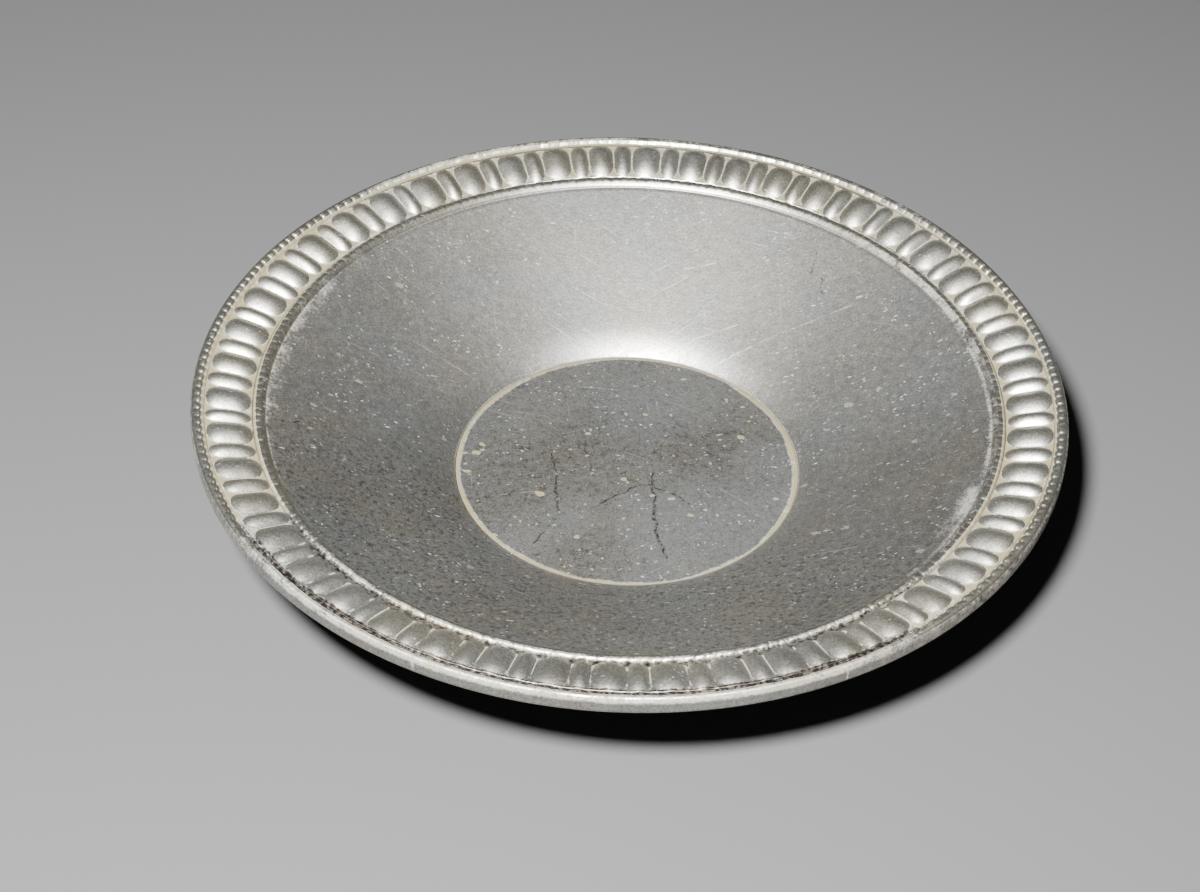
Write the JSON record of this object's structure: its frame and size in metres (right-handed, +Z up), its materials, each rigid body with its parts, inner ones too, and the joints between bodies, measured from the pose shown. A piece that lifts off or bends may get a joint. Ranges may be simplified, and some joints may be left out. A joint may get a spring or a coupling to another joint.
{
  "type": "offering plate",
  "caption": "Small round dish with a flat centre, a flared well and a low foot ring, edged by a band of alternating lobes between beaded rings.",
  "frame": {"origin": "centre of the foot ring's bottom face, on the table", "axes": "+Z up along the axis that the plate is turned about; the plate is round, and -Y is the side nearest the viewer"},
  "size_m": [0.088, 0.088, 0.016],
  "materials": {
    "floor_pewter": "dull grey pewter, worn and flecked with fine bright nicks",
    "well_pewter": "soft satin pewter with fine scratches",
    "foot_pewter": "dull grey pewter, not polished",
    "bead_pewter": "rubbed pewter, bright on the beads and tan with old polish between them",
    "lobe_pewter": "rubbed pewter, bright on the lobes and tan with old polish between them",
    "rim_pewter": "handled pewter, smooth with small nicks"
  },
  "bodies": {
    "root": {"floor_disc": "floor_pewter", "well_body": "well_pewter", "foot_ring": "foot_pewter", "inner_bead_ring": "bead_pewter", "lobed_band": "lobe_pewter", "outer_bead_ring": "bead_pewter", "rim_band": "rim_pewter"}
  },
  "joints": []
}
